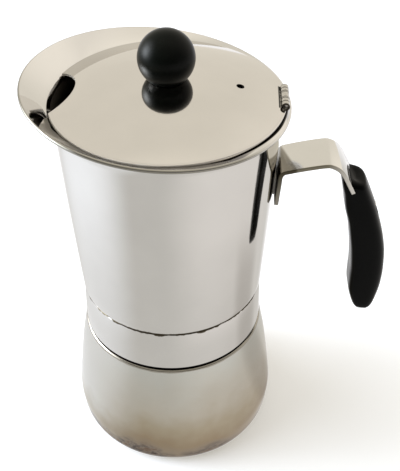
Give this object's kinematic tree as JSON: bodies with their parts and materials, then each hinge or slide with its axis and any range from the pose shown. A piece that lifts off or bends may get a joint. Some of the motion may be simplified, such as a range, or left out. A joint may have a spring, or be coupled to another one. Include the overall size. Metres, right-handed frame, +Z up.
{
  "type": "moka pot",
  "caption": "Stovetop moka pot in polished steel with a flared pouring lip, domed hinged lid, black ball knob and a steel strap handle with a black grip.",
  "frame": {"origin": "centre of the pot's flat bottom, on its vertical axis, at the level of the surface it stands on", "axes": "+Z up along the pot's axis, +X towards the handle, -X towards the pouring lip, +Y towards the safety valve"},
  "size_m": [0.157, 0.1149, 0.2118],
  "materials": {
    "polished_steel": "mirror-polished stainless steel",
    "lid_steel": "mirror-polished stainless steel",
    "turned_steel": "satin steel, turned and pressed",
    "satin_steel": "satin steel",
    "spring_steel": "drawn wire",
    "valve_brass": "machined brass",
    "fibre": "red fibre washer",
    "silicone": "off-white silicone",
    "knob_black": "black phenolic, soft gloss",
    "grip_black": "black phenolic, satin"
  },
  "bodies": {
    "boiler": {"boiler_shell": "polished_steel", "thread_ring": "turned_steel", "valve_seat": "polished_steel", "valve_body": "valve_brass", "valve_washer": "fibre", "valve_nut": "valve_brass", "valve_spring": "spring_steel", "valve_cap": "valve_brass", "basket": "turned_steel", "basket_plate": "turned_steel", "funnel_stem": "turned_steel"},
    "relief_pin": {"valve_pin": "valve_brass"},
    "seal": {"gasket": "silicone"},
    "vessel": {"collar": "polished_steel", "vessel_floor": "turned_steel", "filter_plate": "turned_steel", "coffee_column": "turned_steel", "column_cap": "turned_steel", "vessel_shell": "polished_steel", "pouring_lip": "polished_steel", "hinge_leaf": "satin_steel", "hinge_pin": "satin_steel", "strap_pad": "satin_steel", "handle_strap": "satin_steel", "grip": "grip_black", "grip_screw": "satin_steel"},
    "lid": {"lid": "lid_steel", "lid_knuckles": "satin_steel", "knob": "knob_black", "knob_insert": "valve_brass", "knob_screw": "satin_steel", "knob_washer": "satin_steel"}
  },
  "joints": [
    {"name": "unscrew_lift", "type": "slide", "parent": "boiler", "child": "seal", "axis": [0, 0, 1], "range_m": [0, 0.0106]},
    {"name": "unscrew_turn", "type": "hinge", "parent": "seal", "child": "vessel", "pos_m": [0, 0, 0], "axis": [0, 0, 1], "range_deg": [0, 1080]},
    {"name": "lid_hinge", "type": "hinge", "parent": "vessel", "child": "lid", "pos_m": [0.0469, 0, 0.18425], "axis": [0, 1, 0], "range_deg": [0, 110]},
    {"name": "relief_valve", "type": "slide", "parent": "boiler", "child": "relief_pin", "axis": [0, 1, 0], "range_m": [0, 0.0012], "stiffness_N_per_m": 2000, "springref_m": -0.0006, "deforming": ["valve_spring"]}
  ],
  "couplings": [
    {"joint": "unscrew_lift", "follows": "unscrew_turn", "m_per_rad": 0.00055704}
  ]
}
